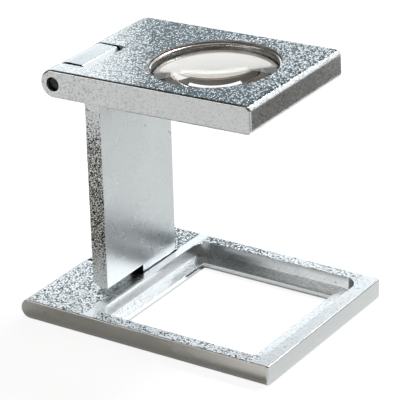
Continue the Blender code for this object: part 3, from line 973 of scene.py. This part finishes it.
castingLooks = {
    "base": {"grain": 0.00029, "relief": 0.30, "contrast": 11.0, "dark": (0.09, 0.12, 0.135, 1),
             "light": (0.95, 0.98, 1.0, 1), "roughness": (0.22, 0.28), "scratch": 0.05},
    "upright": {"grain": 0.00025, "relief": 0.30, "contrast": 12.0, "dark": (0.06, 0.055, 0.05, 1),
                "light": (0.91, 0.965, 1.0, 1), "roughness": (0.24, 0.30), "scratch": 0.05},
    "plate": {"grain": 0.00031, "relief": 0.35, "contrast": 14.0, "dark": (0.02, 0.065, 0.085, 1),
              "light": (0.95, 0.98, 1.0, 1), "roughness": (0.20, 0.26), "scratch": 0.05},
}


def makeSteelMaterial(name, colour, roughness):
    material = bpy.data.materials.new(name)
    material.use_nodes = True
    tree = material.node_tree
    shader = tree.nodes["Principled BSDF"]
    shader.inputs["Metallic"].default_value = 1.0
    place = addNode(tree, "ShaderNodeTexCoord")
    noise = addNode(tree, "ShaderNodeTexNoise", {"Vector": place.outputs["Object"], "Scale": 3000.0,
                                                 "Detail": 3.0})
    tree.links.new(mix(tree, noise.outputs["Fac"], (*[c * 0.8 for c in colour], 1), (*colour, 1)),
                   shader.inputs["Base Color"])
    tree.links.new(spread(tree, noise.outputs["Fac"], roughness * 0.8, roughness * 1.3),
                   shader.inputs["Roughness"])
    return material


def makeGlassMaterial(name, look):
    # clear in the middle, and tinted where the light runs along the ground edge
    material = bpy.data.materials.new(name)
    material.use_nodes = True
    tree = material.node_tree
    shader = tree.nodes["Principled BSDF"]
    shader.inputs["Transmission Weight"].default_value = 1.0
    shader.inputs["IOR"].default_value = 1.52
    shader.inputs["Metallic"].default_value = 0.0
    place = addNode(tree, "ShaderNodeTexCoord")
    centre = platePlace @ Vector((plateCast["lensReach"], 0, 0))
    centred = addNode(tree, "ShaderNodeMapping", {"Vector": place.outputs["Object"],
                                                  "Location": -centre}, vector_type="POINT")
    flat = addNode(tree, "ShaderNodeVectorMath", {0: centred.outputs["Vector"], 1: (1, 1, 0)},
                   operation="MULTIPLY")
    reach = addNode(tree, "ShaderNodeVectorMath", {0: flat.outputs["Vector"]}, operation="LENGTH")
    edge = spread(tree, reach.outputs["Value"], 0.0, 1.0, look["tintFrom"], look["tintTo"])
    smudge = addNode(tree, "ShaderNodeTexNoise", {"Vector": place.outputs["Object"], "Scale": 260.0,
                                                  "Detail": 2.0}).outputs["Fac"]
    middle = mix(tree, smudge, look["clear"], look["film"])
    tree.links.new(mix(tree, edge, middle, look["edge"]), shader.inputs["Base Color"])
    aim = addNode(tree, "ShaderNodeSeparateXYZ", {0: place.outputs["Normal"]})
    size = addNode(tree, "ShaderNodeMath", {0: aim.outputs["Z"]}, operation="ABSOLUTE").outputs[0]
    ground = spread(tree, size, look["groundEdge"], 0.0, 0.3, 0.8)
    film = spread(tree, smudge, 0.0, look["smudge"], 0.5, 0.8)
    tree.links.new(chain(tree, "ADD", ground, film), shader.inputs["Roughness"])
    return material


glassLook = {
    "tintFrom": 0.01235,
    "tintTo": 0.01248,
    "clear": (1.0, 0.985, 0.955, 1),
    "film": (1.0, 0.965, 0.93, 1),
    "edge": (0.40, 0.56, 0.54, 1),
    "smudge": 0.02,
    "groundEdge": 0.5,
}


def wear(item, material):
    item.data.materials.clear()
    item.data.materials.append(material)


castings = (
    (baseCasting, "baseSkin", castingLooks["base"], baseZones, basePaintedShade),
    (uprightCasting, "uprightSkin", castingLooks["upright"], uprightZones, uprightPaintedShade),
    (lensPlateCasting, "plateSkin", castingLooks["plate"], plateZones, plateShadeAndBore),
)
for casting, skinName, look, zones, shadeAndMarks in castings:
    wear(casting, makeCastingMaterial(skinName, look, zones, shadeAndMarks))
wear(lensElement, makeGlassMaterial("crownGlass", glassLook))
wear(snapRingPiece, makeSteelMaterial("ringWire", (0.90, 0.88, 0.85), 0.25))
# the pins are painted near black: painted shade for their recessed holes
shadedPinSteel = makeSteelMaterial("shadedPinSteel", (0.07, 0.068, 0.065), 0.28)
wear(upperPinPiece, shadedPinSteel)
wear(lowerPinPiece, shadedPinSteel)
washerSteel = makeSteelMaterial("washerSteel", (0.10, 0.10, 0.105), 0.35)
for name in ("upper_spring_washer", "lower_spring_washer"):
    frame["nodes"][name].material_slots[0].material = washerSteel
print("materials done")
